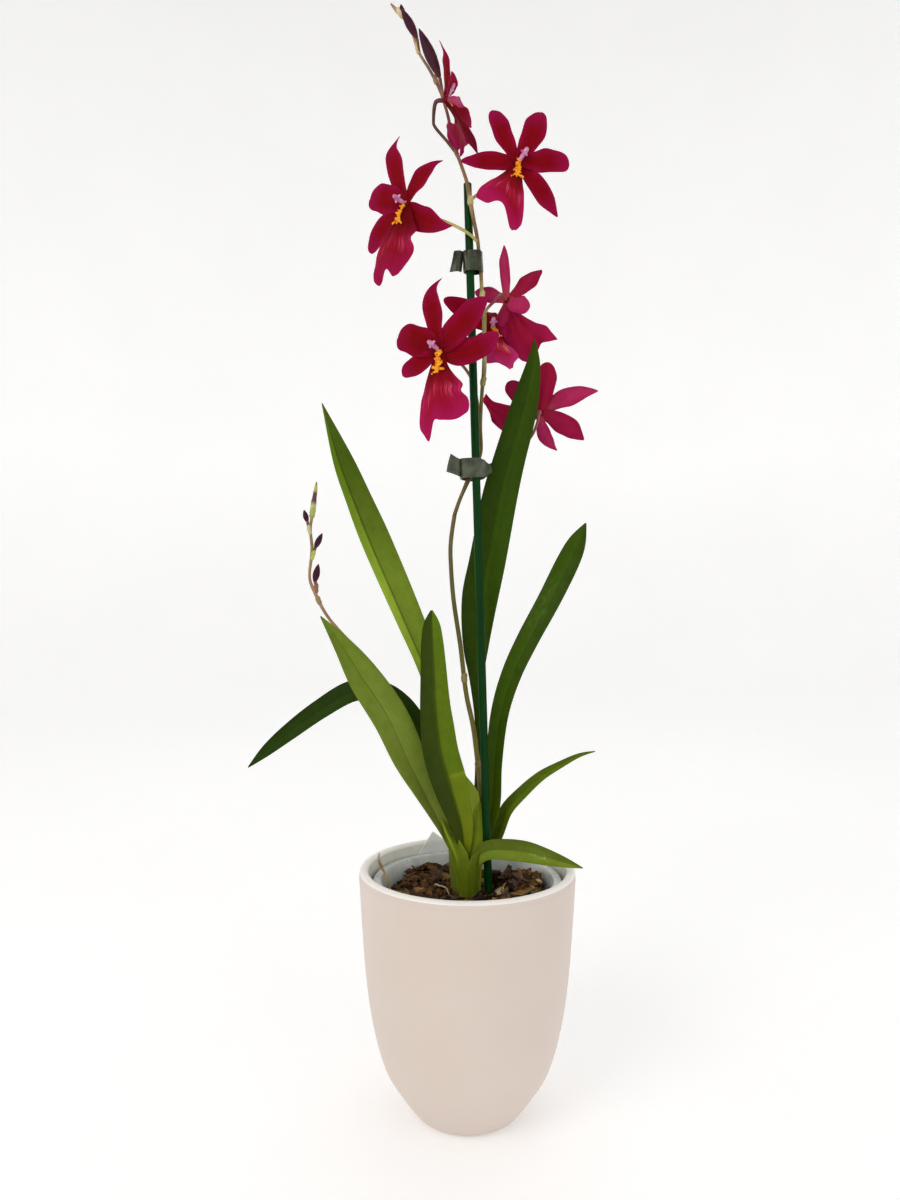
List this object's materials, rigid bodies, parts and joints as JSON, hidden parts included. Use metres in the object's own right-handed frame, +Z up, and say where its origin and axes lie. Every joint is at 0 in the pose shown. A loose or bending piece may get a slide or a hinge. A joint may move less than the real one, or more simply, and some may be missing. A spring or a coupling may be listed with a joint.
{
  "type": "potted cambria orchid",
  "caption": "Cambria orchid in flower: strap leaves on a sheathed bulb and crimson blooms on a staked spike, in a nursery pot of bark inside a rounded white ceramic pot.",
  "frame": {"origin": "centre of the ceramic pot's foot, on the surface that it stands on", "axes": "+Z up along the pot's axis; +X to the right and +Y away from the viewer as the plant is shown from its front"},
  "size_m": [0.226, 0.1318, 0.6804],
  "materials": {
    "ceramic_white": "matt",
    "nursery_plastic": "satin",
    "label_plastic": "satin",
    "bark": "rough",
    "root": "matt",
    "bulb": "satin",
    "leaf": "satin",
    "spike": "satin",
    "stake_plastic": "satin",
    "clip_plastic": "satin",
    "petal": "velvety",
    "crest": "satin",
    "column": "satin",
    "bud": "satin"
  },
  "bodies": {
    "root": {"pot": "ceramic_white", "nursery_pot": "nursery_plastic", "plant_label": "label_plastic", "bark": "bark", "root_aerial": "root", "root_1": "root", "root_2": "root", "root_3": "root", "pseudobulb": "bulb", "leaf_1": "leaf", "leaf_2": "leaf", "leaf_3": "leaf", "leaf_4": "leaf", "leaf_5": "leaf", "leaf_6": "leaf", "leaf_7": "leaf", "leaf_8": "leaf", "spike_main": "spike", "spike_young": "spike", "stake": "stake_plastic", "clip_upper": "clip_plastic", "clip_lower": "clip_plastic", "bloom_1": "petal", "bloom_2": "petal", "bloom_3": "petal", "bloom_4": "petal", "bloom_5": "petal", "bloom_6": "petal", "bloom_7": "petal", "crest_1": "crest", "crest_2": "crest", "crest_3": "crest", "crest_4": "crest", "crest_5": "crest", "crest_6": "crest", "crest_7": "crest", "column_1": "column", "column_2": "column", "column_3": "column", "column_4": "column", "column_5": "column", "column_6": "column", "column_7": "column", "bud_1": "bud", "bud_2": "bud", "bud_3": "bud", "bud_4": "bud", "bud_5": "bud", "bud_6": "bud"}
  },
  "joints": []
}
